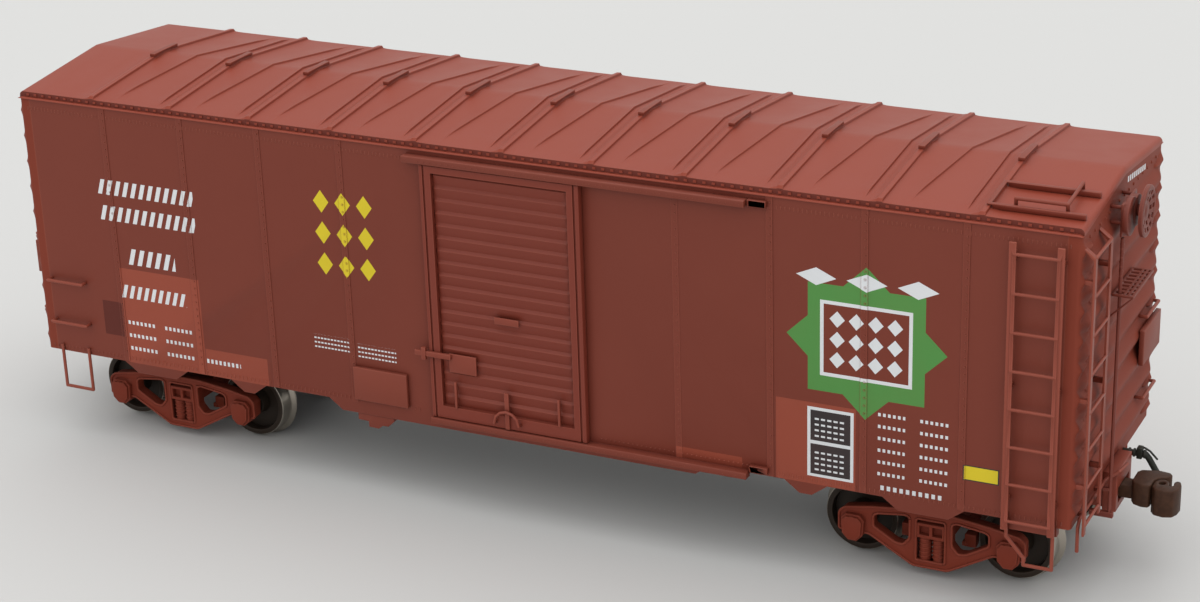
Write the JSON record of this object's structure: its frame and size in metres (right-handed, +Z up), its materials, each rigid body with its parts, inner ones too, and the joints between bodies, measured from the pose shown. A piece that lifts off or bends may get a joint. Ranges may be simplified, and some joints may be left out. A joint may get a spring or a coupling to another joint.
{
  "type": "scale model railroad boxcar",
  "caption": "Scale model railroad boxcar: hollow ribbed body with sliding side doors, gabled roof, ladders, hand brake, swinging couplers and two swivelling four-wheel trucks.",
  "frame": {"origin": "under the middle of the car, on the surface its wheel flanges touch", "axes": "+X along the car to the end with the hand brake, +Y to its left, +Z up"},
  "size_m": [0.1634, 0.0384, 0.052],
  "materials": {
    "body_red": "satin oxide-red paint over moulded plastic",
    "roof_red": "flat oxide-red paint over moulded plastic",
    "fitting_red": "satin oxide-red paint on fine moulded parts and wire",
    "truck_red": "flat oxide-red plastic",
    "wheel_steel": "turned metal tread, dark brown faces",
    "axle_black": "flat black",
    "coupler_brown": "rust-brown painted metal casting",
    "underframe_black": "flat black moulded plastic",
    "weight_steel": "plain steel plate",
    "screw_steel": "blackened screw",
    "air_line_black": "satin black moulding",
    "floor_tan": "flat moulded planks"
  },
  "bodies": {
    "car": {"underframe_plate": "underframe_black", "weight": "weight_steel", "floor": "floor_tan", "center_sill": "underframe_black", "body_bolsters": "underframe_black", "cross_bearers": "underframe_black", "side_wall_right": "body_red", "side_wall_left": "body_red", "end_wall_front": "body_red", "end_wall_rear": "body_red", "roof": "roof_red", "running_board_saddles": "roof_red", "roof_corner_rails": "roof_red", "door_tracks_right": "body_red", "door_tracks_left": "body_red", "side_ladder_right": "fitting_red", "side_ladder_left": "fitting_red", "end_ladder_front": "fitting_red", "end_ladder_rear": "fitting_red", "grab_irons": "fitting_red", "sill_steps": "fitting_red", "coupler_boxes": "underframe_black", "brake_wheel": "fitting_red", "brake_housing": "fitting_red", "brake_rod": "fitting_red", "brake_step": "fitting_red", "placard_boards": "body_red", "uncoupling_levers": "fitting_red", "air_line_ends": "air_line_black", "air_reservoir": "underframe_black", "brake_cylinder": "underframe_black", "control_valve": "underframe_black", "brake_rigging": "underframe_black", "king_pins": "screw_steel"},
    "door_right": {"door_right": "body_red", "door_right_fittings": "body_red"},
    "door_left": {"door_left": "body_red", "door_left_fittings": "body_red"},
    "coupler_front": {"coupler_front": "coupler_brown", "knuckle_front": "coupler_brown"},
    "truck_front": {"truck_front_frame_right": "truck_red", "truck_front_frame_left": "truck_red", "truck_front_bolster": "truck_red", "truck_front_brake_beams": "truck_red"},
    "wheelset_front_outer": {"axle_front_outer": "axle_black", "wheels_front_outer": "wheel_steel"},
    "wheelset_front_inner": {"axle_front_inner": "axle_black", "wheels_front_inner": "wheel_steel"},
    "coupler_rear": {"coupler_rear": "coupler_brown", "knuckle_rear": "coupler_brown"},
    "truck_rear": {"truck_rear_frame_right": "truck_red", "truck_rear_frame_left": "truck_red", "truck_rear_bolster": "truck_red", "truck_rear_brake_beams": "truck_red"},
    "wheelset_rear_outer": {"axle_rear_outer": "axle_black", "wheels_rear_outer": "wheel_steel"},
    "wheelset_rear_inner": {"axle_rear_inner": "axle_black", "wheels_rear_inner": "wheel_steel"}
  },
  "joints": [
    {"name": "door_right_slide", "type": "slide", "parent": "car", "child": "door_right", "axis": [1, 0, 0], "range_m": [0, 0.0214]},
    {"name": "door_left_slide", "type": "slide", "parent": "car", "child": "door_left", "axis": [-1, 0, 0], "range_m": [0, 0.0214]},
    {"name": "truck_front_swivel", "type": "hinge", "parent": "car", "child": "truck_front", "pos_m": [0.0545, 0, 0.009], "axis": [0, 0, 1], "range_deg": [-12, 12]},
    {"name": "truck_rear_swivel", "type": "hinge", "parent": "car", "child": "truck_rear", "pos_m": [-0.0545, 0, 0.009], "axis": [0, 0, 1], "range_deg": [-12, 12]},
    {"name": "wheelset_front_outer_spin", "type": "hinge", "parent": "truck_front", "child": "wheelset_front_outer", "pos_m": [0.0644, 0, 0.00543], "axis": [0, 1, 0], "continuous": true},
    {"name": "wheelset_front_inner_spin", "type": "hinge", "parent": "truck_front", "child": "wheelset_front_inner", "pos_m": [0.0446, 0, 0.00543], "axis": [0, 1, 0], "continuous": true},
    {"name": "wheelset_rear_outer_spin", "type": "hinge", "parent": "truck_rear", "child": "wheelset_rear_outer", "pos_m": [-0.0644, 0, 0.00543], "axis": [0, 1, 0], "continuous": true},
    {"name": "wheelset_rear_inner_spin", "type": "hinge", "parent": "truck_rear", "child": "wheelset_rear_inner", "pos_m": [-0.0446, 0, 0.00543], "axis": [0, 1, 0], "continuous": true},
    {"name": "coupler_front_swing", "type": "hinge", "parent": "car", "child": "coupler_front", "pos_m": [0.0686, 0, 0.0103], "axis": [0, 0, 1], "range_deg": [-9, 9]},
    {"name": "coupler_rear_swing", "type": "hinge", "parent": "car", "child": "coupler_rear", "pos_m": [-0.0686, 0, 0.0103], "axis": [0, 0, 1], "range_deg": [-9, 9]}
  ]
}
